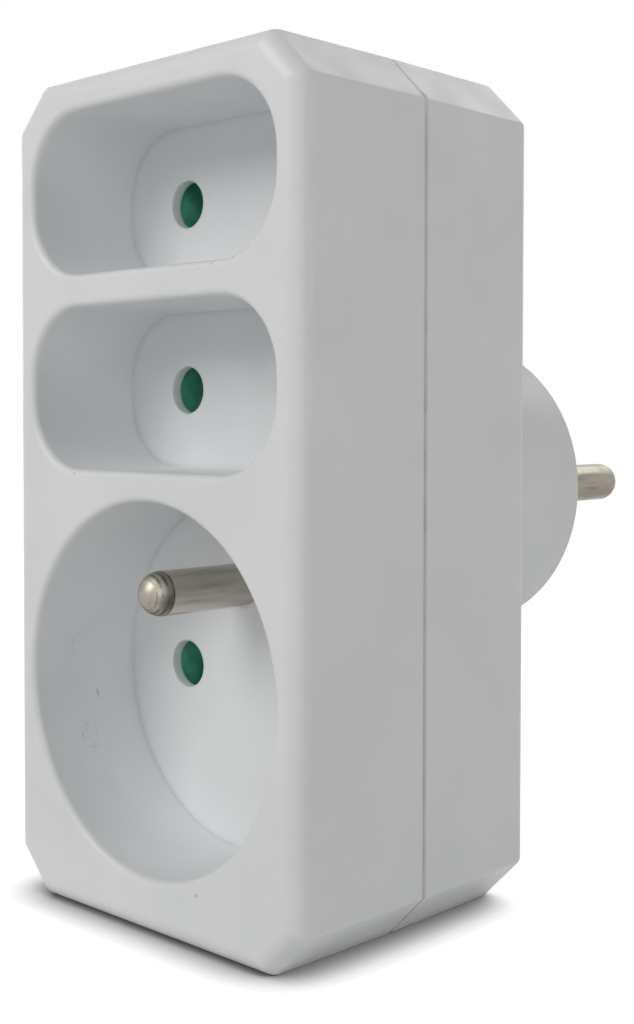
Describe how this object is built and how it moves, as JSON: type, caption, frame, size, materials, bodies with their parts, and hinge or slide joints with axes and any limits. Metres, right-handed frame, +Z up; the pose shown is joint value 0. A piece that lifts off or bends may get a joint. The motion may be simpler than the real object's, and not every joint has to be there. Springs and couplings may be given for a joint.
{
  "type": "multi socket adapter",
  "caption": "Upright moulded mains adapter with stadium-shaped pockets above a deep round earthed well, sprung shutters behind the pin holes and a round plug at the back.",
  "frame": {"origin": "centre of the bottom end face, on the plane where the two shells meet", "axes": "+Z up along the body, +X to the right seen from the front, sockets face -Y and the plug points along +Y"},
  "size_m": [0.0464, 0.0727, 0.0915],
  "materials": {
    "shell_plastic": "satin moulded white",
    "plate_plastic": "moulded",
    "shutter_plastic": "moulded green",
    "contact_brass": "rolled strip",
    "plated_pin": "nickel plated",
    "spring_wire": "drawn wire",
    "screw_steel": "zinc plated"
  },
  "bodies": {
    "housing": {"front_cover": "shell_plastic", "socket_floor_top": "shell_plastic", "socket_floor_middle": "shell_plastic", "socket_floor_round": "shell_plastic", "rear_housing": "shell_plastic", "plug_body": "shell_plastic", "inner_plate": "plate_plastic", "live_busbar": "contact_brass", "neutral_busbar": "contact_brass", "clip_rivets": "contact_brass", "earth_pin": "plated_pin", "earth_strap": "contact_brass", "earth_sleeve": "contact_brass", "live_plug_pin": "plated_pin", "neutral_plug_pin": "plated_pin", "housing_screws": "screw_steel", "live_clip_top": "contact_brass", "live_clip_middle": "contact_brass", "live_clip_round": "contact_brass", "neutral_clip_top": "contact_brass", "neutral_clip_middle": "contact_brass", "neutral_clip_round": "contact_brass", "shutter_spring_top": "spring_wire", "shutter_spring_middle": "spring_wire", "shutter_spring_round": "spring_wire"},
    "shutter_top": {"shutter_top": "shutter_plastic"},
    "shutter_middle": {"shutter_middle": "shutter_plastic"},
    "shutter_round": {"shutter_round": "shutter_plastic"}
  },
  "joints": [
    {"name": "shutter_top_slide", "type": "slide", "parent": "housing", "child": "shutter_top", "axis": [1, 0, 0], "range_m": [0, 0.0056], "stiffness_N_per_m": 120, "springref_m": -0.004, "deforming": ["shutter_spring_top"]},
    {"name": "shutter_middle_slide", "type": "slide", "parent": "housing", "child": "shutter_middle", "axis": [1, 0, 0], "range_m": [0, 0.0056], "stiffness_N_per_m": 120, "springref_m": -0.004, "deforming": ["shutter_spring_middle"]},
    {"name": "shutter_round_slide", "type": "slide", "parent": "housing", "child": "shutter_round", "axis": [1, 0, 0], "range_m": [0, 0.0056], "stiffness_N_per_m": 120, "springref_m": -0.004, "deforming": ["shutter_spring_round"]}
  ]
}
